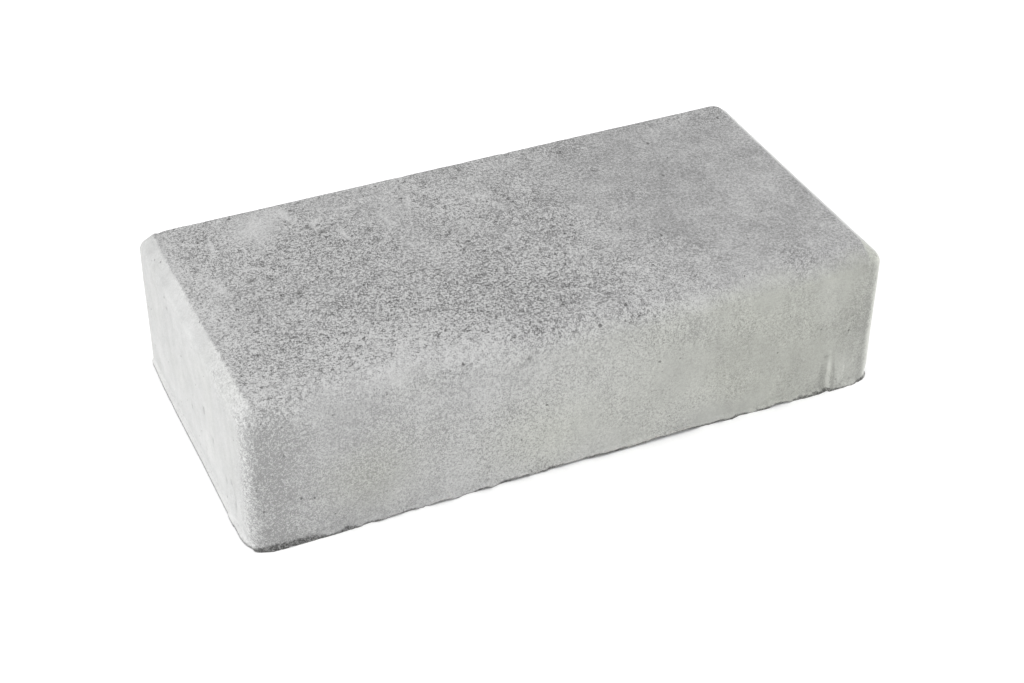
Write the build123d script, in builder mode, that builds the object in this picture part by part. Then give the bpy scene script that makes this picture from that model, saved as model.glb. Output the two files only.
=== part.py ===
# Concrete block paver of the rectangular 200 x 100 x 50 mm format, pressed in one piece.
# Millimetres, +X along the length, +Z up to the wearing face.
# The origin is the middle of the bed face, which lies on the ground.

import os

from build123d import *

# Body of the block: with one nib in each joint it lays on a 200 x 100 mm grid
BODY_LENGTH = 198.8
BODY_WIDTH = 98.8
BODY_HEIGHT = 48.5

# Chamfer round the wearing face, a little wider than it is deep
CHAMFER_WIDTH = 5.4
CHAMFER_DEPTH = 5.0

# Rounding of the upright corners, of the hips above them and of the chamfer's lower arris
CORNER_RADIUS = 4.0

# Rounding of the chamfer's upper arris, round the flat of the wearing face
WEARING_ARRIS_RADIUS = 2.0

# Spacer nibs stand on the foot of each wall, with splayed flanks and a sloped top.
# The projection sets the joint, and the slope lets the block leave its mould.
NIB_PROJECTION = 1.2
NIB_WIDTH = 5.6
NIB_FLANK_SPLAY = 1.2
NIB_HEIGHT = 14.0
NIB_SLOPE_HEIGHT = 5.0
NIB_EDGE_RADIUS = 0.4

# How far a nib runs back inside the block
NIB_ROOT = 3.0

# One nib on each wall, near its right-hand end as seen from outside
SIDE_NIB_FROM_CORNER = 12.6
END_NIB_FROM_CORNER = 15.4


def wall_nib(foot, outward):
    """One spacer nib: foot is its middle on the wall's bed edge, outward leaves the wall."""
    with BuildPart() as nib:
        with BuildSketch(Plane(origin=foot, x_dir=outward, z_dir=(0, 0, 1))):
            with BuildLine():
                Polyline(
                    (-NIB_ROOT, -NIB_WIDTH / 2),
                    (0, -NIB_WIDTH / 2),
                    (NIB_PROJECTION, -NIB_WIDTH / 2 + NIB_FLANK_SPLAY),
                    (NIB_PROJECTION, NIB_WIDTH / 2 - NIB_FLANK_SPLAY),
                    (0, NIB_WIDTH / 2),
                    (-NIB_ROOT, NIB_WIDTH / 2),
                    close=True,
                )
            make_face()
        extrude(amount=NIB_HEIGHT)

        outer_face = nib.faces().sort_by(Axis(foot, outward))[-1]
        crest = outer_face.edges().sort_by(Axis.Z)[-1]
        chamfer(crest, length=NIB_SLOPE_HEIGHT, length2=NIB_PROJECTION, reference=outer_face)

        outer_face = nib.faces().filter_by(Plane(origin=foot, z_dir=outward)).sort_by(Axis(foot, outward))[-1]
        foot_edge = outer_face.edges().sort_by(Axis.Z)[0:1]
        fillet(outer_face.edges() - foot_edge, radius=NIB_EDGE_RADIUS)
    return nib.part


side_nib = wall_nib(
    foot=(BODY_LENGTH / 2 - SIDE_NIB_FROM_CORNER, -BODY_WIDTH / 2, 0),
    outward=(0, -1, 0),
)
end_nib = wall_nib(
    foot=(-BODY_LENGTH / 2, -BODY_WIDTH / 2 + END_NIB_FROM_CORNER, 0),
    outward=(-1, 0, 0),
)

with BuildPart() as paver:
    with BuildSketch():
        Rectangle(BODY_LENGTH, BODY_WIDTH)
    extrude(amount=BODY_HEIGHT)

    # The chamfer's width is measured in from the walls, along the wearing face
    wearing_face = paver.faces().sort_by(Axis.Z)[-1]
    chamfer(wearing_face.edges(), length=CHAMFER_WIDTH, length2=CHAMFER_DEPTH, reference=wearing_face)

    # Every edge is rounded but those of the bed face and those of the wearing face
    bed_edges = paver.faces().sort_by(Axis.Z)[0].edges()
    wearing_edges = paver.faces().sort_by(Axis.Z)[-1].edges()
    fillet(paver.edges() - bed_edges - wearing_edges, radius=CORNER_RADIUS)
    fillet(paver.faces().sort_by(Axis.Z)[-1].edges(), radius=WEARING_ARRIS_RADIUS)

    # The block is the same after a half-turn, so each nib has its fellow on the opposite wall
    with PolarLocations(radius=0, count=2):
        add([side_nib, end_nib])

paver.part.label = "paver"
os.makedirs("parts", exist_ok=True)
export_step(paver.part, "parts/paver.step")
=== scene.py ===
"""Dressed model of a rectangular concrete block paver, lying on its bed face.

The block is one closed surface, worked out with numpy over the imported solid: a rounded profile carried
round the walls, a grid for the wearing face and a coarser grid for the bed. Relief, worn corners, spacer
nibs and the ragged foot are moved into the mesh, and finer grain is bump in the concrete finish.
Sizes in the classes are millimetres, and the meshes are written in metres.
"""

import logging
import math
from dataclasses import dataclass
from enum import Enum, IntEnum

import bpy
import numpy as np
from mathutils import Matrix, Vector


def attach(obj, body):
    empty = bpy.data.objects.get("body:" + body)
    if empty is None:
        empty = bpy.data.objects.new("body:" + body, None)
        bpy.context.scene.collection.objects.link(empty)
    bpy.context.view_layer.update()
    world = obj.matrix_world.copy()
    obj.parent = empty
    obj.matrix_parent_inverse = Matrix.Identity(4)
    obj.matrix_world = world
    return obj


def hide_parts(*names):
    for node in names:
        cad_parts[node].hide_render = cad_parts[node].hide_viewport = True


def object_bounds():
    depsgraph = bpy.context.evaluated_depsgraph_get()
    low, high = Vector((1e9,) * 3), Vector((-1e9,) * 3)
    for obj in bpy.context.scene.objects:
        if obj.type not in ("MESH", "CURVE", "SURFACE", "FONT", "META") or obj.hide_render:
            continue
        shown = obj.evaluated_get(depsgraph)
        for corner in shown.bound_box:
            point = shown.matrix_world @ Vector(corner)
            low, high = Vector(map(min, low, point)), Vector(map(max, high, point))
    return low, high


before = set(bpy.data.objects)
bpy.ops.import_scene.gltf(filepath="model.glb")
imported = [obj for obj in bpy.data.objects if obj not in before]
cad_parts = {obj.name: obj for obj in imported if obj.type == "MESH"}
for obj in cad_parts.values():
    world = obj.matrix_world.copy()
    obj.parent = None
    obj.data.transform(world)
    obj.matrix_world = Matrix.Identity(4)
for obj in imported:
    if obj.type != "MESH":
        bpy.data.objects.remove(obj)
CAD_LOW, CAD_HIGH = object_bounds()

LOG = logging.getLogger("paver")
MM = 0.001
# Times this, a place drops to the ground
FLAT = np.array([1.0, 1.0, 0.0])
# Points on the curves from which the grids' lines are picked
FINE_STEPS = 4001
Colour = tuple[float, float, float, float]


def smoothstep(low: float, high: float, value: np.ndarray) -> np.ndarray:
    """Ramp from 0 at low to 1 at high, with level ends: 3t^2 - 2t^3.

    Args:
        low: value where the ramp starts.
        high: value where the ramp ends, which may be below low.
        value: numbers to ramp.

    Returns:
        The ramp, of value's shape.
    """
    t = np.clip((value - low) / (high - low), 0.0, 1.0)
    return t * t * (3.0 - 2.0 * t)


def running_sum(values: np.ndarray) -> np.ndarray:
    """Sums of the values up to each one, starting at 0."""
    return np.concatenate([[0.0], np.cumsum(values)])


def crowded(fine: np.ndarray, density: np.ndarray, cells: int) -> np.ndarray:
    """Places for a grid's lines, closer together where the density is higher.

    The trapezoids under the density add up to a spread, which is cut into equal steps.

    Args:
        fine: evenly spaced places.
        density: how crowded the lines are at each of them.
        cells: how many cells the lines bound.

    Returns:
        The places, (cells + 1,).
    """
    spread = running_sum(0.5 * (density[1:] + density[:-1]))
    return np.interp(np.linspace(0.0, spread[-1], cells + 1), spread, fine)


def level_grid(along: np.ndarray, across: np.ndarray, height: float) -> np.ndarray:
    """Places of a level grid, (n, 3), with the lines across running fastest."""
    x, y = np.meshgrid(along, across, indexing="ij")
    return np.stack([x, y, np.full_like(x, height)], axis=2).reshape(-1, 3)


def heading(azimuth: float, elevation: float) -> Vector:
    """Unit vector from the block, in degrees round it from its front and degrees above the horizon."""
    a, e = math.radians(azimuth), math.radians(elevation)
    return Vector((math.sin(a) * math.cos(e), -math.cos(a) * math.cos(e), math.sin(e)))


def add_object(name: str, data: bpy.types.ID) -> bpy.types.Object:
    """Puts data into the scene as an object at the origin.

    Args:
        name: the object's name.
        data: its mesh, lamp or camera.

    Returns:
        The object.
    """
    item = bpy.data.objects.new(name, data)
    bpy.context.scene.collection.objects.link(item)
    return item


class Seed(IntEnum):
    """What starts each random field."""

    WAVES = 1
    GRAIN = 2
    PITS = 3
    AIR_HOLES = 4
    OPENNESS = 5
    TONE = 7
    ARRIS = 8
    CROWN = 9
    CORNERS = 12
    NICKS = 13
    WARMTH = 14
    FIN = 21
    TEETH = 22
    BREAKS = 23
    FOOT_SHADE = 24
    BED = 31


@dataclass(frozen=True)
class RandomField:
    """Seeded random fields in space, the same on every run.

    Attributes:
        seed: starts the table of lattice values.
        period: lattice cells before the table repeats.
        lead: how many periods before the origin the cells are counted from.
        octave_shift: shift of each octave from the one before, in millimetres, so that no lattices line up.
    """

    seed: Seed
    period: int = 48
    lead: int = 8
    octave_shift: float = 17.3

    def _table(self, layers: int) -> np.ndarray:
        """Random lattice values from 0 to 1, one layer for each number wanted at a lattice point."""
        side = self.period
        return np.random.default_rng(self.seed).random((layers, side, side, side))

    def _cells(self, points: np.ndarray, width: float) -> tuple[np.ndarray, np.ndarray]:
        """Places counted in cells of this width, and the cell that each is in."""
        scaled = points / width + self.period * self.lead
        return scaled, np.floor(scaled).astype(int)

    def smooth(self, points: np.ndarray, feature: float) -> np.ndarray:
        """Value noise: lattice values blended across each cell with a smoothstep along each axis.

        Args:
            points: places, (n, 3), in millimetres.
            feature: width of a lattice cell, in millimetres.

        Returns:
            Numbers from -1 to 1, one for each place.
        """
        table = self._table(1)[0]
        scaled, cell = self._cells(points, feature)
        part = scaled - cell
        part = part * part * (3.0 - 2.0 * part)
        total = np.zeros(len(points))
        for corner in np.ndindex(2, 2, 2):
            share = np.prod(np.where(np.array(corner) == 1, part, 1.0 - part), axis=1)
            at = (cell + corner) % self.period
            total += share * table[at[:, 0], at[:, 1], at[:, 2]]
        return 2.0 * total - 1.0

    def rough(self, points: np.ndarray, feature: float, octaves: int, gain: float = 0.5) -> np.ndarray:
        """Fractal noise: octaves of value noise, each half as wide and gain times as high as the last.

        Args:
            points: places, (n, 3), in millimetres.
            feature: width of the widest octave, in millimetres.
            octaves: how many are added up.
            gain: height of an octave over the one before.

        Returns:
            Numbers from about -1 to 1, one for each place.
        """
        total = np.zeros(len(points))
        norm = 0.0
        for octave in range(octaves):
            height = gain**octave
            shifted = points + self.octave_shift * octave
            total += height * self.smooth(shifted, feature / 2.0**octave)
            norm += height
        return total / norm

    def spots(self, points: np.ndarray, spacing: float) -> tuple[np.ndarray, np.ndarray]:
        """Scattered spots: the distance from each place to the nearest of one jittered spot in each cell.

        Args:
            points: places, (n, 3), in millimetres.
            spacing: width of a cell, in millimetres.

        Returns:
            The distance in millimetres, and a random number from 0 to 1 that belongs to the nearest spot.
        """
        table = self._table(4)
        scaled, cell = self._cells(points, spacing)
        nearest = np.full(len(points), np.inf)
        mark = np.zeros(len(points))
        for offset in np.ndindex(3, 3, 3):
            beside = cell + np.array(offset) - 1
            at = beside % self.period
            jitter = table[:3, at[:, 0], at[:, 1], at[:, 2]].T
            gap = np.linalg.norm(scaled - beside - jitter, axis=1)
            closer = gap < nearest
            nearest = np.where(closer, gap, nearest)
            mark = np.where(closer, table[3, at[:, 0], at[:, 1], at[:, 2]], mark)
        return nearest * spacing, mark


@dataclass(frozen=True)
class BlockForm:
    """The block's plain form, without relief: a rounded block with a chamfered wearing face.

    Attributes:
        nib_projection: how far the nibs stand out of the walls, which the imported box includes.
        chamfer_width: chamfer measured in from the walls.
        chamfer_depth: chamfer measured down from the wearing face.
        lower_radius: rounding of the chamfer's lower arris.
        upper_radius: rounding of the chamfer's upper arris.
        corner_radius: rounding of the upright corners.
        crown_corner_radius: rounding of the corners of the wearing face's flat.
        flat_margin: strip of the flat that the walls' surface runs on over.
        nib_station: where the long walls' nibs stand, as a share of the half length.
        nib_crowding: how much denser the grid's columns are at those nibs.
        nib_spread: how far that reaches, as a share of the half length.
        foot_crowding: how much denser the grid's rows are at the foot.
        chamfer_crowding: how much denser they are from the chamfer's lower arris up.
        long_cells: grid cells along the length.
        short_cells: grid cells across the width.
        wall_cells: grid cells up a wall and over the chamfer.
        bed_step: cells of the rim that one cell of the bed spans.
    """

    nib_projection: float = 1.2
    chamfer_width: float = 5.4
    chamfer_depth: float = 5.0
    lower_radius: float = 4.0
    upper_radius: float = 2.0
    corner_radius: float = 4.0
    crown_corner_radius: float = 2.7
    flat_margin: float = 0.8
    nib_station: float = 0.86
    nib_crowding: float = 1.6
    nib_spread: float = 0.05
    foot_crowding: float = 1.2
    chamfer_crowding: float = 0.7
    long_cells: int = 264
    short_cells: int = 132
    wall_cells: int = 76
    bed_step: int = 4

    @property
    def half_length(self) -> float:
        """Half the body's length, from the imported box."""
        return CAD_HIGH.x / MM - self.nib_projection

    @property
    def half_width(self) -> float:
        """Half the body's width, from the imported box."""
        return CAD_HIGH.y / MM - self.nib_projection

    @property
    def height(self) -> float:
        """The body's height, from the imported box."""
        return CAD_HIGH.z / MM

    @property
    def around(self) -> int:
        """Grid cells once round the block."""
        return 2 * (self.long_cells + self.short_cells)

    def stations(self) -> np.ndarray:
        """Grid columns along the length, from -1 to 1, crowded where the nibs of the long walls stand."""
        fine = np.linspace(-1.0, 1.0, FINE_STEPS)
        away = (np.abs(fine) - self.nib_station) / self.nib_spread
        return crowded(fine, 1.0 + self.nib_crowding * np.exp(-(away**2)), self.long_cells)

    def loop(self) -> np.ndarray:
        """Places round a square from -1 to 1, anticlockwise from its near left corner, (around, 2)."""
        along = self.stations()[:-1]
        across = np.linspace(-1.0, 1.0, self.short_cells + 1)[:-1]
        near = np.stack([along, np.full_like(along, -1.0)], axis=1)
        right = np.stack([np.full_like(across, 1.0), across], axis=1)
        return np.concatenate([near, right, -near, -right])

    def profile(self) -> tuple[np.ndarray, np.ndarray, np.ndarray, np.ndarray]:
        """Upright section of a wall: straight up, round the lower arris, up the chamfer, over to the flat.

        Each arris is an arc that touches both of its straight runs, so it takes radius * tan(turn / 2)
        off each. Rows are closer at the foot and on the chamfer than on the plain wall.

        Returns:
            For each row its inset from the wall, its height, and its normal's outward and upward parts.
        """
        slope = math.atan2(self.chamfer_depth, self.chamfer_width)
        first_turn = math.pi / 2 - slope
        second_turn = slope
        cut_low = self.lower_radius * math.tan(first_turn / 2)
        cut_high = self.upper_radius * math.tan(second_turn / 2)
        run = math.hypot(self.chamfer_width, self.chamfer_depth)
        lengths = np.array(
            [
                self.height - self.chamfer_depth - cut_low,
                self.lower_radius * first_turn,
                run - cut_low - cut_high,
                self.upper_radius * second_turn,
                self.flat_margin,
            ]
        )
        ends = running_sum(lengths)
        fine = np.linspace(0.0, ends[-1], FINE_STEPS)
        turned = np.interp(fine, ends, [0.0, 0.0, first_turn, first_turn, math.pi / 2, math.pi / 2])
        between = 0.5 * (turned[1:] + turned[:-1])
        step = fine[1] - fine[0]
        inset = running_sum(np.sin(between)) * step
        height = running_sum(np.cos(between)) * step

        at_foot = self.foot_crowding * (1.0 - smoothstep(1.0, 4.0, fine))
        above = self.chamfer_crowding * smoothstep(ends[1] - 3.0, ends[1], fine)
        rows = crowded(fine, 1.0 + at_foot + above, self.wall_cells)
        angle = np.interp(rows, fine, turned)
        return np.interp(rows, fine, inset), np.interp(rows, fine, height), np.cos(angle), np.sin(angle)

    def walls(self) -> tuple[np.ndarray, np.ndarray]:
        """The walls and chamfer: the profile carried round a rounded rectangle that shrinks by the inset.

        A place on the sharp rectangle moves onto the rounded one by keeping the nearest place of the inner
        rectangle, smaller by the radius all round, and going one radius from there towards itself.

        Returns:
            Places and outward normals, each (rows * around, 3), row by row from the foot.
        """
        inset, height, outward, upward = self.profile()
        shrink = smoothstep(0.0, self.chamfer_width, inset)
        radius = self.corner_radius + (self.crown_corner_radius - self.corner_radius) * shrink
        half = np.stack([self.half_length - inset, self.half_width - inset], axis=1)
        square = half[:, None, :] * self.loop()[None, :, :]
        inner = half - radius[:, None]
        kept = np.clip(square, -inner[:, None, :], inner[:, None, :])
        away = square - kept
        away /= np.linalg.norm(away, axis=2, keepdims=True)
        plan = kept + radius[:, None, None] * away
        one = np.ones_like(plan[..., :1])
        places = np.concatenate([plan, height[:, None, None] * one], axis=2)
        normals = np.concatenate([outward[:, None, None] * away, upward[:, None, None] * one], axis=2)
        return places.reshape(-1, 3), normals.reshape(-1, 3)

    def inner_grid(self, inset: float, step: int, height: float) -> np.ndarray:
        """Inner places of a level grid that fills the block's plan.

        Args:
            inset: distance of the grid's rim from the walls.
            step: cells of the walls' surface that one cell spans.
            height: its height.

        Returns:
            Places, ((long_cells / step - 1) * (short_cells / step - 1), 3).
        """
        along = self.stations()[::step][1:-1] * (self.half_length - inset)
        across = np.linspace(-1.0, 1.0, self.short_cells // step + 1)[1:-1] * (self.half_width - inset)
        return level_grid(along, across, height)

    def crown(self) -> np.ndarray:
        """Inner places of the wearing face's grid, inside the walls' last row."""
        return self.inner_grid(self.profile()[0][-1], 1, self.height)

    def bed(self) -> np.ndarray:
        """Inner places of the bed's coarse grid, on the ground and clear of the rounded corners."""
        return self.inner_grid(self.corner_radius, self.bed_step, 0.0)


class Side(Enum):
    """The four walls, by the way they face."""

    FRONT = (0, -1)
    RIGHT = (1, 0)
    BACK = (0, 1)
    LEFT = (-1, 0)


@dataclass(frozen=True)
class Nib:
    """A spacer nib on the foot of a wall, with splayed flanks and a sloped top.

    Attributes:
        side: the wall it stands on.
        from_corner: distance of its middle from the wall's right-hand corner, seen from outside.
        projection: how far it stands out.
        width: its width at the wall.
        splay: width of the sloping flank on its left.
        far_splay: width of the gentler flank on its right.
        height: where its slope ends above the ground.
        slope_height: height of its sloping top.
        hollow: depth of the shallow hollow on its left.
        hollow_width: how far the hollow reaches from the nib.
    """

    side: Side
    from_corner: float
    projection: float = 1.2
    width: float = 5.6
    splay: float = 1.2
    far_splay: float = 3.0
    height: float = 12.4
    slope_height: float = 4.4
    hollow: float = 0.0
    hollow_width: float = 3.5

    def rise(self, places: np.ndarray, normals: np.ndarray, form: BlockForm) -> np.ndarray:
        """Outward shift of a wall: a ramp across each flank times a ramp up the slope, less the hollow.

        Args:
            places: places on the walls, (n, 3).
            normals: their outward normals, (n, 3).
            form: the block's plain form.

        Returns:
            The shift, (n,).
        """
        out = np.array([*self.side.value, 0.0])
        right = np.array([-out[1], out[0], 0.0])
        reach = abs(right[0]) * form.half_length + abs(right[1]) * form.half_width
        middle = reach - self.from_corner
        across = places @ right - middle
        facing = smoothstep(0.6, 0.9, normals @ out)
        half = self.width / 2
        flanks = np.minimum((half + across) / self.splay, (half - across) / self.far_splay)
        plateau = np.clip(flanks, 0.0, 1.0)
        upright = np.clip((self.height - places[:, 2]) / self.slope_height, 0.0, 1.0)
        beside = -half - across
        dip = smoothstep(self.hollow_width, 0.3, beside) * smoothstep(-0.4, 0.3, beside)
        return facing * upright * (self.projection * plateau - self.hollow * dip)


@dataclass(frozen=True)
class Patch:
    """A soft oval patch on the block.

    Attributes:
        middle: its centre.
        reach: its half sizes along the length, across the width and up.
        strength: its value at the centre.
        turn: degrees it is turned about the upright.
    """

    middle: tuple[float, float, float]
    reach: tuple[float, float, float]
    strength: float
    turn: float = 0.0

    def value(self, places: np.ndarray) -> np.ndarray:
        """Strength times exp(-r^2), where r is the distance from the centre in half sizes."""
        a = math.radians(self.turn)
        offset = places - np.array(self.middle)
        along = offset[:, 0] * math.cos(a) + offset[:, 1] * math.sin(a)
        across = offset[:, 1] * math.cos(a) - offset[:, 0] * math.sin(a)
        local = np.stack([along, across, offset[:, 2]], axis=1) / np.array(self.reach)
        return self.strength * np.exp(-np.sum(local * local, axis=1))


def summed(patches: tuple[Patch, ...], places: np.ndarray) -> np.ndarray:
    """Sum of the patches' values at each place."""
    return sum(patch.value(places) for patch in patches)


# The block, and the planes of its wearing face, front wall and left end
FORM = BlockForm()
TOP = FORM.height
FRONT = -FORM.half_width
LEFT = -FORM.half_length

# Where the skin is open and sandy, and where it is closed by cement paste
OPEN_PATCHES = (
    Patch((-52, 14, TOP), (30, 15, 12), 0.45, -28.0),
    Patch((-12, -26, TOP), (34, 13, 12), 0.75, -6.0),
    Patch((-70, -26, TOP), (20, 16, 12), 0.35),
    Patch((8, -6, TOP), (22, 12, 12), 0.35),
    Patch((-66, 35, TOP), (8, 6, 12), -0.7, 30.0),
    Patch((74, -4, TOP), (40, 60, 12), -0.50),
    Patch((-96, -49, 20), (10, 5, 40), 0.70),
    Patch((2, -49, 45), (44, 5, 6), 0.10),
    Patch((72, -49, 20), (36, 5, 30), -0.25),
    Patch((-34, -49, 22), (30, 5, 14), 0.25),
    Patch((-52, -47, 46.5), (34, 4, 4.5), -0.45),
    Patch((40, -49, 34), (30, 5, 7), 0.20),
    Patch((LEFT, 10, 22), (5, 62, 40), -0.70),
)

# Where the concrete is paler, and where it is darker, with painted light and shade in some patches
TONE_AND_LIGHT_PATCHES = (
    Patch((-93, 0, TOP), (7, 60, 6), 0.40),
    Patch((-50, -45, 48), (62, 5, 6), 0.50),
    Patch((60, -47, 47), (60, 5, 6), 0.25),
    Patch((-66, 35, TOP), (8, 6, 12), 0.35, 30.0),
    Patch((-8, -22, TOP), (30, 14, 6), 0.25),
    Patch((-58, -32, TOP), (24, 12, 6), 0.50),
    Patch((-92, FRONT, 18), (8, 4, 34), -0.95),
    Patch((-66, FRONT, 20), (20, 4, 30), -0.38),
    Patch((-16, FRONT, 22), (30, 4, 26), 0.20),
    Patch((62, FRONT, 26), (24, 4, 22), -0.32),
    Patch((94, FRONT, 24), (8, 4, 34), -0.60),
    # Painted light: the foot of the front wall is paler, standing in for light thrown up from the floor
    Patch((0, FRONT, 0), (70, 4, 12), 0.25),
    # Painted light and shade on the front nib: a highlight on its left flank, shade in the hollow beside
    # it, a dark line by the highlight and a paler face
    Patch((84, FRONT, 2), (0.45, 3, 8), 2.60),
    Patch((81.6, FRONT, 6), (1.3, 3, 8), -0.50),
    Patch((85, FRONT, 5), (0.5, 3, 6), -1.30),
    Patch((91, FRONT, 5), (3, 3, 6), 0.50),
    # Painted highlight on the rounded front right corner, with a darker line beside it
    Patch((98.1, -48.3, 15), (1.7, 1.7, 24), 2.40),
    Patch((95.2, FRONT, 16), (0.7, 2, 24), -0.50),
    # Painted highlight along the chamfer of the right end
    Patch((97, 12, 45.8), (2.4, 44, 2.5), 0.90),
    Patch((96, -46, 46.5), (5, 5, 4), -0.50),
    # Painted shade: the right part of the wearing face is darker, standing in for the fall of light across
    # it
    Patch((60, 14, TOP), (42, 60, 3), -0.32),
    # Painted light: the left end is paler, standing in for the strong light that falls on it
    Patch((LEFT, 4, 22), (3, 50, 30), 0.25),
    Patch((LEFT, 4, 7), (3, 50, 9), 0.40),
    # Painted highlight on the top of the left end's foot ledge, and painted shade under it at the ground
    Patch((LEFT, 0, 2), (2, 60, 0.7), 2.20),
    Patch((LEFT, 0, 0.1), (2, 60, 0.6), -2.20),
)

# Where the concrete is a little warmer in hue
WARM_PATCHES = (
    Patch((66, FRONT, 20), (62, 6, 60), 1.0),
    Patch((88, -46, TOP), (22, 9, 6), 0.8),
    Patch((-62, FRONT, 16), (14, 4, 12), 0.6),
    Patch((-10, FRONT, 10), (16, 4, 14), 0.5),
)

# Pale smears of paste on the wearing face: place along and across, length, and turn
SMEARS = tuple(
    Patch((along, across, TOP), (0.75, length, 6), 1.2, turn)
    for along, across, length, turn in (
        (-57, 38, 4.0, 12),
        (-44, 20, 3.0, 14),
        (-30, 24, 3.5, 8),
        (-82, 30, 4.0, -6),
        (-50, 30, 2.5, -40),
        (-62, 12, 2.0, 60),
        (-38, 34, 3.0, 80),
        (-20, 30, 3.0, -20),
        (-74, 14, 2.2, 75),
        (-28, 8, 2.5, 70),
        (-86, 8, 2.4, 20),
        (4, 18, 2.6, 35),
    )
)

# Small open air holes: place, half sizes and depth share; the finish paints them dark as shade
HOLES = (
    Patch((LEFT, -11, 23), (3, 0.55, 1.1), 1.0),
    Patch((LEFT, -18, 17.5), (3, 0.50, 0.8), 0.6),
    Patch((LEFT, -29, 11), (3, 0.50, 1.2), 0.6),
    # This one is painted shade on the flank of the left end's nib, not an air hole; it is also carved a
    # little
    Patch((LEFT, -37, 8.6), (3, 0.45, 3.6), 0.55),
    Patch((LEFT, -34, 14), (3, 0.60, 0.7), 0.6),
    Patch((LEFT, 20, 38), (3, 0.60, 0.7), 0.6),
    Patch((LEFT, 2, 15), (3, 0.50, 0.7), 0.5),
    Patch((-16, FRONT, 42), (0.6, 3, 0.7), 0.9),
    Patch((-18.5, FRONT, 40.5), (0.5, 3, 0.6), 0.8),
    Patch((-14, FRONT, 43.5), (0.5, 3, 0.6), 0.8),
    Patch((82.6, FRONT, 12.6), (0.9, 3, 0.6), 0.5),
    Patch((-49, 25, TOP), (1.6, 0.8, 3), 1.0, 20.0),
    Patch((-52.5, 29, TOP), (1, 0.8, 3), 1.0),
    Patch((-77, 9, TOP), (1.4, 0.8, 3), 1.0, 10.0),
    Patch((-36, 14, TOP), (1.3, 0.8, 3), 0.9, -15.0),
    Patch((-66, -2, TOP), (1.2, 0.8, 3), 0.9, 10.0),
)


def along_foot(*rows: tuple[float, float, float]) -> tuple[Patch, ...]:
    """Patches on the ground at the front wall, from rows of place along it, half length and strength."""
    return tuple(Patch((along, -49, 0), (half, 5, 5), strength) for along, half, strength in rows)


# Where more is squeezed out at the foot, and where more of the arris is missing
FIN_PATCHES = (
    *along_foot((-76, 12, 0.9), (-44, 10, 0.5), (72, 26, 1.0), (84, 6, 0.8), (-88, 6, 1.2)),
    Patch((98, -48, 0), (3, 3, 5), 0.3),
)
LIFT_PATCHES = along_foot((2, 24, 0.9), (76, 16, -0.6), (84, 5, -2.5), (-78, 12, -1.7))

# Where the painted shade along the foot is thicker, and where thinner
FOOT_SHADE_PATCHES = (
    Patch((-92.5, FRONT, 0), (4, 4, 4), 0.5),
    Patch((98, -48.5, 0), (2.5, 2.5, 4), 0.25),
    Patch((80, FRONT, 0), (9, 4, 4), -0.25),
)


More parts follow.
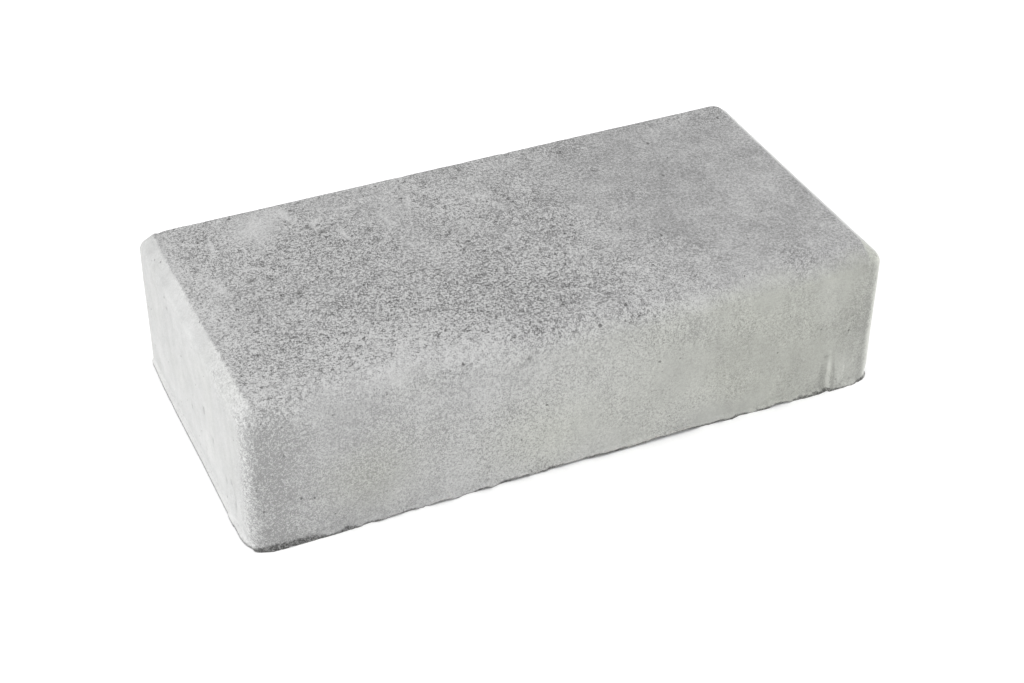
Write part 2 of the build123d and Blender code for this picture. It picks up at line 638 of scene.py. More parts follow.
@dataclass(frozen=True)
class Relief:
    """Shifts that turn the plain form into a pressed, handled block.

    Attributes:
        form: the block's plain form.
        nibs: the spacer nibs.
        wave_height: height of the skin's long waves.
        grain_height: height of the grain, from closed skin to open skin.
        smear_height: how far smeared paste stands out.
        pit_depth: depth of the pits in the wearing face.
        scattered_depth: depth of the scattered air holes in the walls.
        hole_depth: depth of the single open air holes.
        chamfer_fill: extra body on the left chamfer, which is narrower than the others.
        arris_inset: how far the left chamfer's upper arris stands in from the end.
        nick_depth: depth of the nicks along that arris.
        corner_losses: depth lost at the foot of the right and the left front corner.
        fin_limit: how far the fin at the foot stands out at most.
        step_height: how high the step over the fin is.
        lift_fade: how far up the wall the lift of the foot's arris ends.
    """

    form: BlockForm
    nibs: tuple[Nib, ...]
    wave_height: float = 0.22
    grain_height: tuple[float, float] = (0.01, 0.13)
    smear_height: float = 0.12
    pit_depth: float = 0.40
    scattered_depth: float = 0.55
    hole_depth: float = 0.6
    chamfer_fill: float = 1.3
    arris_inset: float = 4.3
    nick_depth: float = 0.35
    corner_losses: tuple[float, float] = (0.35, 0.40)
    fin_limit: float = 1.15
    step_height: float = 1.5
    lift_fade: float = 2.6

    def openness(self, places: np.ndarray) -> np.ndarray:
        """How open the skin is, from 0 to 1: soft patches, broken up by noise and closed under smears."""
        broken_up = 0.5 * RandomField(Seed.OPENNESS).rough(places, 14.0, 3) - 0.85 * self._smeared(places)
        return np.clip(0.3 + summed(OPEN_PATCHES, places) + broken_up, 0.0, 1.0)

    def _smeared(self, places: np.ndarray) -> np.ndarray:
        """Where paste is smeared over the wearing face, from 0 to 1."""
        return np.clip(summed(SMEARS, places), 0.0, 1.0)

    def paleness_and_painted_light(self, places: np.ndarray) -> np.ndarray:
        """How pale the concrete is, from -1 to 1: soft patches, smears and clouds of noise."""
        # Some of the tone patches are painted light and shade, not the concrete's own tone
        clouds = 0.65 * self._smeared(places) + 0.40 * RandomField(Seed.TONE).rough(places, 12.0, 4, 0.6)
        return np.clip(summed(TONE_AND_LIGHT_PATCHES, places) + clouds, -1.0, 1.0)

    def warmth(self, places: np.ndarray) -> np.ndarray:
        """How warm the hue is, from 0 to 1."""
        clouds = 0.3 * RandomField(Seed.WARMTH).rough(places, 18.0, 2)
        return np.clip(summed(WARM_PATCHES, places) + clouds, 0.0, 1.0)

    def holes(self, places: np.ndarray) -> np.ndarray:
        """Depth share of the single air holes, from 0 to 1."""
        return np.clip(summed(HOLES, places), 0.0, 1.0)

    def crown_mask(self, places: np.ndarray) -> np.ndarray:
        """Marks the wearing face. The mark stops at the end chamfers' arris and fades down the long walls.

        Args:
            places: places on the plain form, (n, 3).

        Returns:
            Numbers from 0 to 1, (n,).
        """
        form = self.form
        along, across = places[:, 0], np.abs(places[:, 1])
        full = smoothstep(0.0, -1.0, along) * smoothstep(form.half_width, form.half_width - 8.0, across)
        arris = form.chamfer_width - 0.3 - 0.75 * full
        jagged = 0.5 * RandomField(Seed.ARRIS).rough(places, 7.0, 4, 0.7)
        ends = smoothstep(-0.4, 0.3, form.half_length - np.abs(along) + jagged - arris)
        level = places[:, 2] + 2.5 * RandomField(Seed.CROWN).rough(places, 9.0, 4, 0.6)
        return ends * smoothstep(form.height - 8.0, form.height + 0.3, level)

    def fullness(self, places: np.ndarray) -> np.ndarray:
        """Extra body on the left chamfer, a ramp up to it times ramps at its other three sides.

        Args:
            places: places on the plain form, (n, 3).

        Returns:
            The outward shift, (n,).
        """
        form = self.form
        foot = form.height - form.chamfer_depth
        up = smoothstep(foot - 1.5, foot + 1.0, places[:, 2])
        across = smoothstep(form.half_width - 0.5, form.half_width - 8.0, np.abs(places[:, 1]))
        inset = form.half_length + places[:, 0]
        along = smoothstep(form.chamfer_width + 0.4, form.chamfer_width - 0.8, inset)
        return self.chamfer_fill * across * up * along

    def wear(self, places: np.ndarray) -> np.ndarray:
        """Depth lost to wear: nicks along the left arris, and the feet of the two front corners.

        Args:
            places: places on the plain form, (n, 3).

        Returns:
            The inward shift, (n,).
        """
        form = self.form
        from_arris = np.abs(places[:, 0] + form.half_length - self.arris_inset)
        nicks = smoothstep(0.25, 0.6, RandomField(Seed.NICKS).rough(places, 3.0, 2))
        depth = self.nick_depth * nicks * smoothstep(2.2, 0.8, from_arris)
        for along, most in zip((form.half_length, -form.half_length), self.corner_losses):
            gap = np.linalg.norm(places - np.array([along, -form.half_width, 0.0]), axis=1)
            depth = depth + most * smoothstep(5.0, 1.5, gap + RandomField(Seed.CORNERS).smooth(places, 2.5))
        return depth

    def outward(self, places: np.ndarray, normals: np.ndarray) -> np.ndarray:
        """Shift along the normal: waves, grain and pits by how open the skin is, nibs, and less the wear.

        Args:
            places: places on the plain form, (n, 3).
            normals: their outward normals, (n, 3).

        Returns:
            The shift, (n,).
        """
        crown = self.crown_mask(places)
        wall = 1.0 - smoothstep(0.3, 0.8, normals[:, 2])
        skin = self.openness(places)
        closed, opened = self.grain_height
        waves = self.wave_height * RandomField(Seed.WAVES).rough(places, 34.0, 2) * (0.5 + 0.5 * wall)
        grain = (closed + (opened - closed) * skin) * RandomField(Seed.GRAIN).smooth(places, 3.0)
        gap, mark = RandomField(Seed.PITS).spots(places, 3.4)
        chosen = crown**2 * skin * smoothstep(0.62, 0.9, mark)
        lost = self.wear(places) + self.pit_depth * chosen * smoothstep(1.5, 0.5, gap)
        gap, mark = RandomField(Seed.AIR_HOLES).spots(places, 11.0)
        chosen = wall * smoothstep(0.975, 0.985, mark)
        lost = lost + self.scattered_depth * chosen * smoothstep(1.0, 0.4, gap)
        lost = lost + self.hole_depth * self.holes(places)
        shift = waves + grain + self.fullness(places) + self.smear_height * self._smeared(places) - lost
        return shift + sum(nib.rise(places, normals, self.form) for nib in self.nibs)

    def _on_left_end(self, normals: np.ndarray) -> np.ndarray:
        """1 on the left end and 0 on the other walls."""
        return smoothstep(0.6, 0.95, -normals[:, 0])

    def foot_shade_line(self, places: np.ndarray, normals: np.ndarray) -> np.ndarray:
        """Painted shade along the foot: a dark broken line, thick in places and faint on the left end.

        Args:
            places: places on the walls, (n, 3).
            normals: their outward normals, (n, 3).

        Returns:
            Numbers from 0 to 1, (n,): 1 in the line, by the height over the line's thickness.
        """
        left = self._on_left_end(normals)
        ground = places * FLAT
        shade_thickening = RandomField(Seed.FOOT_SHADE).rough(ground, 7.0, 4, 0.75) + summed(FOOT_SHADE_PATCHES, ground)
        thick = np.clip(0.75 + 2.2 * shade_thickening, 0.02, 2.4) * (1.0 - left) + 1.25 * left
        return smoothstep(1.0, 0.6, places[:, 2] / thick) * (1.0 - 0.50 * left)

    def foot(self, places: np.ndarray, normals: np.ndarray) -> tuple[np.ndarray, np.ndarray]:
        """Ragged foot of the walls: a thin fin squeezed out under the mould, and an arris that stops short.

        The fin stands out below a step, which is straight and level on the left end and ragged elsewhere.
        The arris is lifted by the height of what is missing, and the lift fades out up the wall.

        Args:
            places: places on the walls, (n, 3).
            normals: their outward normals, (n, 3).

        Returns:
            The outward and the upward shift, each (n,).
        """
        across, up = places[:, 1], places[:, 2]
        ground = places * FLAT
        ragged = RandomField(Seed.FIN).rough(ground, 16.0, 3, 0.6)
        teeth = np.tanh(6.0 * RandomField(Seed.TEETH).rough(ground, 6.0, 4, 0.75))
        broken = np.tanh(4.0 * RandomField(Seed.BREAKS).rough(ground, 9.0, 3, 0.7))
        left = self._on_left_end(normals)
        squeezed = 0.60 + 0.7 * ragged + 0.45 * teeth + 0.7 * summed(FIN_PATCHES, ground)
        run_out = smoothstep(-49.0, -41.0, across) * (0.4 + 0.6 * smoothstep(49.0, 30.0, across))
        level_fin = (0.95 + 0.1 * ragged) * run_out
        fin = np.clip(squeezed, -0.3, self.fin_limit) * (1.0 - left) + level_fin * left
        top = self.step_height + 0.6 * (1.0 - left) * teeth + 0.3 * left
        ledge = 0.45 - 0.25 * left
        reach = 1.0 - np.clip((up / top - 1.0 + ledge) / ledge, 0.0, 1.0)
        gone = np.clip(0.15 + 0.60 * broken + 0.60 * teeth + 0.5 * ragged, 0.0, 1.7)
        missing = gone * (1.0 - left) + 0.2 * left + 0.6 * summed(LIFT_PATCHES, ground)
        lift = np.maximum(missing, 0.0) * (1.0 - smoothstep(0.0, self.lift_fade, up))
        return fin * reach, lift


@dataclass(frozen=True)
class PaverBody:
    """The whole block as one closed mesh.

    Attributes:
        form: its plain form.
        relief: its relief.
        rim_inset: where the bed starts, in from the walls.
        bed_height: mean height of the bed over the ground, between the points it rests on.
        bed_roughness: how far the bed rises and falls about that height.
        sharp_angle: degrees between two faces from which their edge is shaded sharp.
    """

    form: BlockForm
    relief: Relief
    rim_inset: float = 1.4
    bed_height: float = 0.55
    bed_roughness: float = 0.45
    sharp_angle: float = 55.0

    def _places(self) -> tuple[np.ndarray, np.ndarray, np.ndarray]:
        """Puts the relief on the walls, the wearing face and the bed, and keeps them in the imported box.

        Returns:
            All places of the plain form, the same with their relief, and the plain form's normals.
        """
        form, relief = self.form, self.relief
        wall, wall_normals = form.walls()
        crown = form.crown()
        skin = np.concatenate([wall, crown])
        skin_normals = np.concatenate([wall_normals, np.tile([0.0, 0.0, 1.0], (len(crown), 1))])
        shaped = skin + relief.outward(skin, skin_normals)[:, None] * skin_normals
        fin, lift = relief.foot(wall, wall_normals)
        plan = wall_normals * FLAT
        shaped[: len(wall)] += fin[:, None] * plan
        shaped[: len(wall), 2] += lift

        rim = wall[: form.around] - self.rim_inset * plan[: form.around]
        bed = np.concatenate([rim, form.bed()])
        raised = bed.copy()
        raised[:, 2] = self.bed_height + self.bed_roughness * RandomField(Seed.BED).rough(bed, 6.0, 3)
        low = np.array([CAD_LOW.x, CAD_LOW.y, 0.0]) / MM
        high = np.array(CAD_HIGH) / MM
        plain = np.concatenate([skin, bed])
        normals = np.concatenate([skin_normals, np.tile([0.0, 0.0, -1.0], (len(bed), 1))])
        return plain, np.clip(np.concatenate([shaped, raised]), low, high), normals

    def _faces(self) -> list[list[int]]:
        """Joins the places up, in the order in which they were made.

        Returns:
            Faces: wall quads, the wearing face's grid, the strip under the walls, and the bed's grid.
        """
        form = self.form
        around, rows = form.around, form.wall_cells
        column = np.arange(around)
        beside = (column + 1) % around
        row = np.arange(rows)[:, None] * around
        quads = np.stack([row + column, row + beside, row + around + beside, row + around + column], axis=2)
        faces = quads.reshape(-1, 4).tolist()

        last = rows * around
        crown_start = (rows + 1) * around
        grid = self._grid(form.long_cells, form.short_cells, last + column, crown_start)
        faces += self._grid_quads(grid).tolist()

        rim_start = crown_start + (form.long_cells - 1) * (form.short_cells - 1)
        faces += np.stack([rim_start + column, rim_start + beside, beside, column], axis=1).tolist()
        step = form.bed_step
        long_bed, short_bed = form.long_cells // step, form.short_cells // step
        bed_rim = rim_start + column[::step]
        bed = self._grid(long_bed, short_bed, bed_rim, rim_start + around)
        coarse = self._grid_quads(bed)[:, ::-1]
        return faces + self._fill_rim(coarse, rim_start)

    def _grid(self, long_cells: int, short_cells: int, rim: np.ndarray, start: int) -> np.ndarray:
        """Vertex numbers of a grid whose rim, anticlockwise from the near left, is given.

        Args:
            long_cells: cells along the length.
            short_cells: cells across the width.
            rim: vertex numbers round the grid.
            start: number of the first inner vertex.

        Returns:
            Numbers, (long_cells + 1, short_cells + 1).
        """
        grid = np.zeros((long_cells + 1, short_cells + 1), int)
        inner = (long_cells - 1) * (short_cells - 1)
        grid[1:-1, 1:-1] = start + np.arange(inner).reshape(long_cells - 1, short_cells - 1)
        near, right, far = long_cells, long_cells + short_cells, 2 * long_cells + short_cells
        grid[:-1, 0] = rim[:near]
        grid[-1, :-1] = rim[near:right]
        grid[:0:-1, -1] = rim[right:far]
        grid[0, :0:-1] = rim[far:]
        return grid

    def _grid_quads(self, grid: np.ndarray) -> np.ndarray:
        """Quads of a grid of vertex numbers, anticlockwise from above, (n, 4)."""
        corners = [grid[:-1, :-1], grid[1:, :-1], grid[1:, 1:], grid[:-1, 1:]]
        return np.stack(corners, axis=2).reshape(-1, 4)

    def _fill_rim(self, coarse: np.ndarray, rim_start: int) -> list[list[int]]:
        """Adds the rim's finer vertices to the bed's outer cells, so that no seam stays open.

        Args:
            coarse: the bed's quads, clockwise from above.
            rim_start: number of the rim's first vertex.

        Returns:
            The faces, with up to step - 1 more vertices on each side that lies on the rim.
        """
        around, step = self.form.around, self.form.bed_step
        faces = []
        for quad in coarse.tolist():
            face = []
            for here, after in zip(quad, quad[1:] + quad[:1]):
                face.append(here)
                back = (here - after) % around
                on_rim = rim_start <= here < rim_start + around and rim_start <= after < rim_start + around
                if on_rim and back == step:
                    face += [rim_start + (here - rim_start - k) % around for k in range(1, step)]
            faces.append(face)
        return faces

    def build(self) -> bpy.types.Object:
        """Makes the block's mesh with its masks, hangs it on the root body and hides the imported paver.

        Returns:
            The block's object.
        """
        plain, shaped, normals = self._places()
        mesh = bpy.data.meshes.new("pressed_block")
        mesh.from_pydata((shaped * MM).tolist(), [], self._faces())
        relief = self.relief
        masks = {
            "crown": relief.crown_mask(plain),
            "open": relief.openness(plain),
            "pale": relief.paleness_and_painted_light(plain),
            "hole_shade": relief.holes(plain),
            "warm": relief.warmth(plain),
            # painted shade along the foot
            "foot": relief.foot_shade_line(plain, normals),
        }
        for name, values in masks.items():
            layer = mesh.attributes.new(name, "FLOAT", "POINT")
            layer.data.foreach_set("value", values.astype(np.float32))
        mesh.polygons.foreach_set("use_smooth", np.ones(len(mesh.polygons), bool))
        mesh.set_sharp_from_angle(angle=math.radians(self.sharp_angle))
        mesh.validate()
        block = add_object("pressed_block", mesh)
        triangles = sum(len(face.vertices) - 2 for face in mesh.polygons)
        LOG.info("pressed_block: %d vertices, %d triangles", len(mesh.vertices), triangles)
        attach(block, "root")
        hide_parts("paver")
        return block


class Graph:
    """A node tree with short calls for the nodes that the finishes use."""

    def __init__(self, tree: bpy.types.NodeTree) -> None:
        """Keeps the tree."""
        self.tree = tree

    def node(self, kind: str, settings: dict | None = None, **inputs: object) -> bpy.types.Node:
        """Adds a node, sets its properties, and sets or links its inputs by name.

        Args:
            kind: the node's type, without the ShaderNode at its front unless it is a group's.
            settings: properties of the node.
            inputs: values or sockets, by input name with underscores for spaces.

        Returns:
            The node.
        """
        full = kind if kind.startswith("NodeGroup") else "ShaderNode" + kind
        node = self.tree.nodes.new(full)
        for name, value in (settings or {}).items():
            setattr(node, name, value)
        for name, value in inputs.items():
            self.feed(node.inputs[name.replace("_", " ")], value)
        return node

    def feed(self, socket: bpy.types.NodeSocket, value: object) -> None:
        """Links a socket into this one, or sets its plain value."""
        if isinstance(value, bpy.types.NodeSocket):
            self.tree.links.new(value, socket)
        else:
            socket.default_value = value

    def maths(self, operation: str, *values: object) -> bpy.types.NodeSocket:
        """The result of a Math node over one to three values."""
        node = self.node("Math", {"operation": operation})
        for socket, value in zip(node.inputs, values):
            self.feed(socket, value)
        return node.outputs[0]

    def times(self, first: object, second: object) -> bpy.types.NodeSocket:
        """The product of two values."""
        return self.maths("MULTIPLY", first, second)

    def line(self, value: object, slope: object, base: object) -> bpy.types.NodeSocket:
        """The straight line slope * value + base."""
        return self.maths("MULTIPLY_ADD", value, slope, base)

    def ramp(
        self, value: object, low: object, high: object, to_low: float = 0.0, to_high: float = 1.0
    ) -> bpy.types.NodeSocket:
        """A smooth map of value from low..high onto to_low..to_high."""
        node = self.node("MapRange", {"interpolation_type": "SMOOTHSTEP"})
        for socket, number in zip(node.inputs, (value, low, high, to_low, to_high)):
            self.feed(socket, number)
        return node.outputs[0]

    def blend(self, share: object, first: object, second: object) -> bpy.types.NodeSocket:
        """A colour between first and second."""
        node = self.node("Mix", {"data_type": "RGBA"})
        for name, value in (("Factor_Float", share), ("A_Color", first), ("B_Color", second)):
            self.feed(next(s for s in node.inputs if s.identifier == name), value)
        return next(s for s in node.outputs if s.identifier == "Result_Color")

    def mask(self, name: str) -> bpy.types.NodeSocket:
        """A mask that the mesh carries at its vertices."""
        return self.node("Attribute", {"attribute_name": name}).outputs["Fac"]

    def noise(self, place: object, scale: object, detail: float, roughness: float = 0.5) -> bpy.types.Node:
        """A Noise Texture node at a place."""
        return self.node("TexNoise", Vector=place, Scale=scale, Detail=detail, Roughness=roughness)

    def group(self, tree: bpy.types.NodeTree, place: object, **inputs: float) -> bpy.types.Node:
        """A shared effect at a place."""
        return self.node("Group", {"node_tree": tree}, Place=place, **inputs)


class GroupName(Enum):
    """The effects that the finish is made of."""

    GRAIN = "sand_grain"
    CREVICES = "crevices"
    PORES = "pores"
    STREAKS = "mould_streaks"
    CRACKS = "hair_cracks"


class Effect(Graph):
    """A shader node group under construction, which reads a place and some numbers."""

    def __init__(self, name: GroupName, outputs: tuple[str, ...], **numbers: float) -> None:
        """Starts the group.

        Args:
            name: which effect it is.
            outputs: the names of its output values.
            numbers: its number inputs with their default values.
        """
        super().__init__(bpy.data.node_groups.new(name.value, "ShaderNodeTree"))
        sockets = self.tree.interface
        sockets.new_socket("Place", in_out="INPUT", socket_type="NodeSocketVector")
        for label, value in numbers.items():
            sockets.new_socket(label, in_out="INPUT", socket_type="NodeSocketFloat").default_value = value
        for label in outputs:
            sockets.new_socket(label, in_out="OUTPUT", socket_type="NodeSocketFloat")
        self.at = self.node("NodeGroupInput").outputs
        self.out = self.node("NodeGroupOutput")

    def finish(self, **values: bpy.types.NodeSocket) -> bpy.types.NodeTree:
        """Links the output values by name and gives the finished group."""
        for label, value in values.items():
            self.feed(self.out.inputs[label], value)
        return self.tree


def grain_group() -> bpy.types.NodeTree:
    """Sand grain: two sizes of noise, spread about 0.5 by Gain. Height for bump, and Tone for colour."""
    effect = Effect(GroupName.GRAIN, ("Height", "Tone"), Coarse=900.0, Fine=2600.0, Gain=1.5)
    at = effect.at
    coarse = effect.noise(at["Place"], at["Coarse"], 4.0, 0.75).outputs[0]
    fine = effect.noise(at["Place"], at["Fine"], 1.0, 0.6).outputs[0]
    height = effect.line(coarse, 0.55, effect.times(fine, 0.45))
    tone = effect.line(effect.maths("SUBTRACT", height, 0.5), at["Gain"], 0.5)
    return effect.finish(Height=height, Tone=tone)


def crevices_group() -> bpy.types.NodeTree:
    """Crevices between the grains: the low parts of a noise, more with Share. Mask is 1 in a crevice."""
    effect = Effect(GroupName.CREVICES, ("Mask",), Scale=1200.0, Share=0.5)
    at = effect.at
    noise = effect.noise(at["Place"], at["Scale"], 3.0, 0.65).outputs[0]
    level = effect.line(at["Share"], 0.16, 0.32)
    return effect.finish(Mask=effect.ramp(noise, level, effect.maths("SUBTRACT", level, 0.09)))


def pores_group() -> bpy.types.NodeTree:
    """Pores: spots with bent outlines in a share of Voronoi cells. Mask is 1 inside a pore."""
    effect = Effect(GroupName.PORES, ("Mask",), Cells=700.0, Share=0.4, Width=0.35)
    at = effect.at
    bent = effect.node("VectorMath", {"operation": "MULTIPLY_ADD"})
    warp = effect.noise(at["Place"], 1400.0, 2.0).outputs["Color"]
    for socket, value in zip(bent.inputs, (warp, (0.0012, 0.0012, 0.0012), at["Place"])):
        effect.feed(socket, value)
    cells = effect.node("TexVoronoi", Vector=bent.outputs[0], Scale=at["Cells"])
    spot = effect.ramp(cells.outputs["Distance"], at["Width"], effect.times(at["Width"], 0.3))
    pick = effect.node("SeparateColor", Color=cells.outputs["Color"]).outputs[0]
    return effect.finish(Mask=effect.times(spot, effect.maths("LESS_THAN", pick, at["Share"])))


def streaks_group() -> bpy.types.NodeTree:
    """Mould streaks: noise drawn out up the wall. Tone from 0 to 1."""
    effect = Effect(GroupName.STREAKS, ("Tone",), Scale=420.0, Contrast=0.12)
    at = effect.at
    drawn = effect.node("Mapping", Vector=at["Place"], Scale=(1.0, 1.0, 0.12))
    noise = effect.noise(drawn.outputs[0], at["Scale"], 1.0, 0.4).outputs[0]
    low = effect.maths("SUBTRACT", 0.5, at["Contrast"])
    high = effect.maths("ADD", 0.5, at["Contrast"])
    return effect.finish(Tone=effect.ramp(noise, low, high))


def cracks_group() -> bpy.types.NodeTree:
    """Hair cracks: where a noise crosses its middle, in a Share of the places. Mask is 1 in a crack."""
    effect = Effect(GroupName.CRACKS, ("Mask",), Scale=330.0, Share=0.4)
    at = effect.at
    noise = effect.noise(at["Place"], at["Scale"], 3.0, 0.7).outputs[0]
    gap = effect.maths("ABSOLUTE", effect.maths("SUBTRACT", noise, 0.5))
    chooser = effect.noise(at["Place"], effect.times(at["Scale"], 1.3), 1.0).outputs[0]
    limit = effect.maths("SUBTRACT", 1.0, at["Share"])
    chosen = effect.ramp(chooser, limit, effect.maths("ADD", limit, 0.04))
    return effect.finish(Mask=effect.times(effect.ramp(gap, 0.022, 0.006), chosen))


@dataclass(frozen=True)
class ConcreteFinish:
    """Grey pressed concrete: sandy and pitted on the wearing face, closed and mottled on the walls.

    Attributes:
        crown_dark: colour in the hollows of the wearing face.
        crown_light: colour on its grains.
        wall_dark: darker colour of the walls.
        wall_light: lighter colour of the walls.
        warm_dark: the same as wall_dark where the hue is warmer.
        warm_light: the same as wall_light where the hue is warmer.
        pore_shade: painted shade in the pores, pits, crevices, cracks and air holes, and along the foot.
        bump_height: height of the fine grain and depth of the hollows, in millimetres.
        specular: strength of the sheen.
    """

    crown_dark: Colour = (0.17, 0.17, 0.17, 1.0)
    crown_light: Colour = (0.465, 0.465, 0.463, 1.0)
    wall_dark: Colour = (0.268, 0.269, 0.267, 1.0)
    wall_light: Colour = (0.495, 0.497, 0.493, 1.0)
    warm_dark: Colour = (0.268, 0.272, 0.250, 1.0)
    warm_light: Colour = (0.495, 0.503, 0.462, 1.0)
    pore_shade: Colour = (0.05, 0.05, 0.048, 1.0)
    bump_height: float = 0.5
    specular: float = 0.25

    def material(self) -> bpy.types.Material:
        """Builds the material out of the effects and the mesh's masks.

        Returns:
            The material.
        """
        material = bpy.data.materials.new("pressed_concrete")
        material.use_nodes = True
        material.node_tree.nodes.clear()
        graph = Graph(material.node_tree)
        place = graph.node("TexCoord").outputs["Object"]
        crown, skin = graph.mask("crown"), graph.mask("open")

        coarseness = graph.line(skin, graph.line(crown, -1.0, 10.0), graph.line(crown, 2.0, 1.1))
        grain = graph.group(grain_group(), place, Coarse=1150.0, Fine=2900.0, Gain=coarseness)
        clouds = graph.maths("SUBTRACT", graph.noise(place, 170.0, 4.0, 0.6).outputs[0], 0.5)
        tone = graph.line(clouds, graph.line(graph.times(crown, skin), 0.5, 0.5), grain.outputs["Tone"])
        # The pale mask holds the concrete's tone and also painted light and shade
        tone = graph.line(graph.mask("pale"), 0.45, tone)
        streaks = graph.group(streaks_group(), place, Scale=300.0).outputs["Tone"]
        wall_tone = graph.line(graph.maths("SUBTRACT", streaks, 0.5), 0.06, tone)
        warm = graph.mask("warm")
        dark = graph.blend(warm, self.wall_dark, self.warm_dark)
        light = graph.blend(warm, self.wall_light, self.warm_light)
        crown_colour = graph.blend(tone, self.crown_dark, self.crown_light)
        colour = graph.blend(crown, graph.blend(wall_tone, dark, light), crown_colour)

        # Painted shade: the hollows and the line along the foot are darkened towards the pore colour
        hollow = self._hollow_depth_and_shade(graph, place)
        broken = graph.ramp(grain.outputs["Height"], 0.56, 0.44, 0.6, 1.0)
        # Painted shade under the foot's arris, broken up by the grain
        foot_shade = graph.times(graph.mask("foot"), broken)
        shade = graph.maths("MAXIMUM", graph.times(hollow, 0.75), graph.times(foot_shade, 0.95))
        colour = graph.blend(shade, colour, self.pore_shade)
        height = graph.times(grain.outputs["Height"], graph.line(skin, 0.85, 0.15))
        height = graph.line(hollow, -0.6, height)
        bump = graph.node("Bump", Height=height, Strength=1.0, Distance=self.bump_height * MM)
        rough = graph.ramp(grain.outputs["Height"], 0.3, 0.7, 0.95, 0.82)
        shader = graph.node("BsdfPrincipled", Base_Color=colour, Roughness=rough, Normal=bump.outputs[0])
        shader.inputs["Specular IOR Level"].default_value = self.specular
        graph.node("OutputMaterial", Surface=shader.outputs[0])
        return material

    def _hollow_depth_and_shade(self, graph: Graph, place: object) -> bpy.types.NodeSocket:
        """The deepest of the air holes, pits, pins, crevices and cracks, each by its share of the depth.

        Args:
            graph: the material's graph.
            place: Object coordinates.

        Returns:
            Depth from 0 to 1, for the bump and for the painted shade in the hollows.
        """
        crown, skin = graph.mask("crown"), graph.mask("open")
        pores = pores_group()
        crevice_share = graph.times(skin, graph.line(crown, 0.45, 0.40))
        pit_share = graph.line(graph.times(crown, skin), 0.14, 0.004)
        crack_share = graph.times(crown, graph.ramp(skin, 0.05, 0.45))
        crack = graph.group(cracks_group(), place, Scale=330.0, Share=0.42).outputs["Mask"]
        marks = (
            (graph.group(pores, place, Cells=430.0, Share=pit_share, Width=0.30).outputs["Mask"], 1.0),
            (graph.group(pores, place, Cells=900.0, Share=0.012, Width=0.36).outputs["Mask"], 0.8),
            (graph.group(crevices_group(), place, Scale=1500.0, Share=crevice_share).outputs["Mask"], 0.75),
            (graph.times(crack, crack_share), 0.9),
        )
        deepest = graph.mask("hole_shade")
        for mark, depth in marks:
            deepest = graph.maths("MAXIMUM", deepest, graph.times(mark, depth))
        return deepest


@dataclass(frozen=True)
class Camera:
    """The photographer's camera: its direction, distance and focal length.

    Attributes:
        azimuth: degrees round the block from its front, towards its left end when negative.
        elevation: degrees above the horizon.
        roll: degrees the picture is turned.
        distance: millimetres from the aim, along the view.
        aim_height: height over the ground of the point that the camera is turned to.
        aim_right: how far the camera is then moved to its right.
        aim_down: how far it is moved down.
        focal_pixels: focal length, in pixels of the picture.
        picture_width: width of the picture, in pixels.
        sensor: width of the sensor, in millimetres.
        clips: nearest and furthest distance that is seen, in metres.
    """

    azimuth: float = -24.707
    elevation: float = 36.303
    roll: float = 0.496
    distance: float = 604.66
    aim_height: float = 30.0
    aim_right: float = 0.882
    aim_down: float = 16.072
    focal_pixels: float = 2015.6
    picture_width: int = 1024
    sensor: float = 36.0
    clips: tuple[float, float] = (0.01, 20.0)

    def place(self) -> None:
        """Adds the camera and makes it the scene's own."""
        a, r = math.radians(self.azimuth), math.radians(self.roll)
        back = heading(self.azimuth, self.elevation)
        level = Vector((math.cos(a), math.sin(a), 0.0))
        steep = back.cross(level)
        right = math.cos(r) * level + math.sin(r) * steep
        up = -math.sin(r) * level + math.cos(r) * steep
        data = bpy.data.cameras.new("camera")
        data.sensor_width = self.sensor
        data.lens = self.focal_pixels * self.sensor / self.picture_width
        data.clip_start, data.clip_end = self.clips
        camera = add_object("camera", data)
        spot = Vector((0, 0, self.aim_height)) + back * self.distance
        spot = spot + right * self.aim_right - up * self.aim_down
        turn = Matrix((right, up, back)).transposed().to_4x4()
        camera.matrix_world = Matrix.Translation(spot * MM) @ turn
        bpy.context.scene.camera = camera


@dataclass(frozen=True)
class Softbox:
    """A large soft lamp.

    Attributes:
        name: the lamp's name.
        azimuth: degrees round the block, as the camera's.
        elevation: degrees above the horizon.
        distance: metres from the block.
        size: its side, in metres.
        power: watts.
    """

    name: str
    azimuth: float
    elevation: float
    distance: float
    size: float
    power: float

    def place(self) -> None:
        """Adds the lamp, turned to the block."""
        back = heading(self.azimuth, self.elevation)
        data = bpy.data.lights.new(self.name, "AREA")
        data.shape = "SQUARE"
        data.size = self.size
        data.energy = self.power
        lamp = add_object(self.name, data)
        turn = back.to_track_quat("Z", "Y").to_matrix().to_4x4()
        lamp.matrix_world = Matrix.Translation(back * self.distance) @ turn


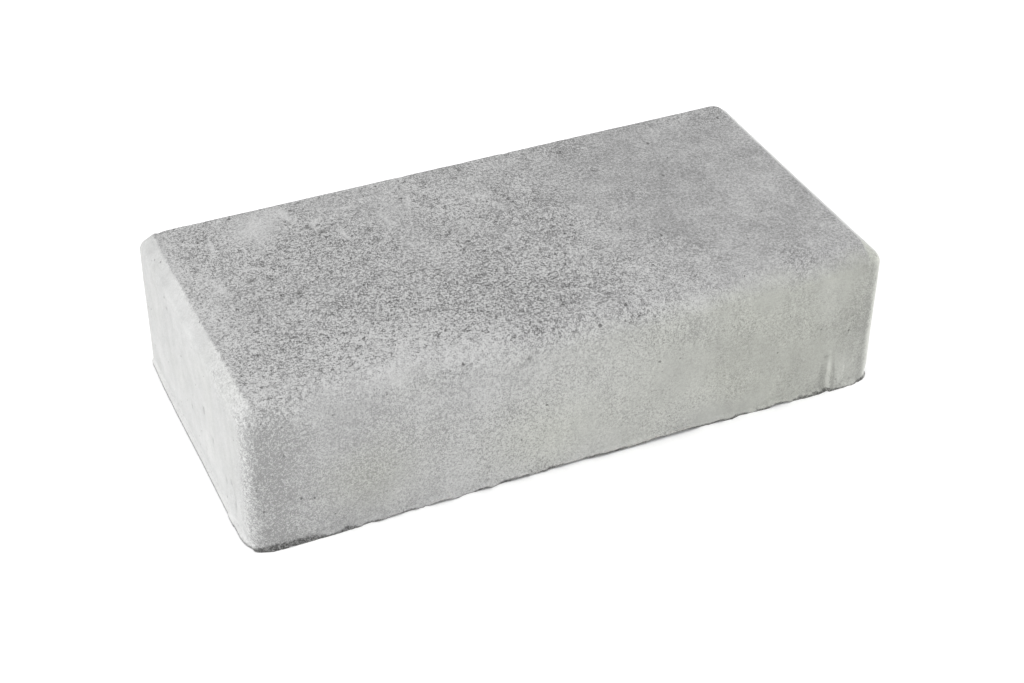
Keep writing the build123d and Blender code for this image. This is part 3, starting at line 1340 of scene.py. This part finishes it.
@dataclass(frozen=True)
class Studio:
    """Plain white floor, soft lamps and a pale surround.

    Attributes:
        floor_side: side of the floor, in metres.
        floor_colour: its colour.
        surround: strength of the pale surround.
        lamps: the soft lamps.
    """

    floor_side: float = 6.0
    floor_colour: Colour = (0.96, 0.96, 0.96, 1.0)
    surround: float = 0.80
    lamps: tuple[Softbox, ...] = (
        Softbox("left_softbox", -85.0, 28.0, 1.2, 0.9, 12.0),
        Softbox("top_softbox", 10.0, 60.0, 1.5, 1.2, 4.2),
        Softbox("right_softbox", 90.0, 10.0, 1.2, 0.7, 13.0),
    )

    def build(self) -> None:
        """Adds the floor, the lamps and the surround."""
        half = self.floor_side / 2
        mesh = bpy.data.meshes.new("floor")
        corners = [(-half, -half, 0.0), (half, -half, 0.0), (half, half, 0.0), (-half, half, 0.0)]
        mesh.from_pydata(corners, [], [(0, 1, 2, 3)])
        floor = add_object("floor", mesh)
        material = bpy.data.materials.new("white_floor")
        material.use_nodes = True
        shader = material.node_tree.nodes["Principled BSDF"]
        shader.inputs["Base Color"].default_value = self.floor_colour
        shader.inputs["Roughness"].default_value = 1.0
        shader.inputs["Specular IOR Level"].default_value = 0.0
        mesh.materials.append(material)
        for lamp in self.lamps:
            lamp.place()
        world = bpy.data.worlds.new("surround")
        bpy.context.scene.world = world
        world.use_nodes = True
        background = world.node_tree.nodes["Background"]
        background.inputs["Color"].default_value = (1.0, 1.0, 1.0, 1.0)
        background.inputs["Strength"].default_value = self.surround
        bpy.context.scene.view_settings.view_transform = "Standard"
        LOG.info("studio: floor and %d lamps", len(self.lamps))


# One nib near the right-hand end of each wall
NIBS = (
    Nib(Side.FRONT, 12.6, hollow=0.5),
    Nib(Side.RIGHT, 15.4),
    Nib(Side.BACK, 12.6),
    Nib(Side.LEFT, 15.4, projection=0.8),
)


def main() -> None:
    """Builds the block, dresses it and sets up the studio."""
    logging.basicConfig(level=logging.INFO, format="%(name)s: %(message)s")
    block = PaverBody(FORM, Relief(FORM, NIBS)).build()
    block.data.materials.append(ConcreteFinish().material())
    Studio().build()
    Camera().place()


if __name__ == "__main__":
    main()
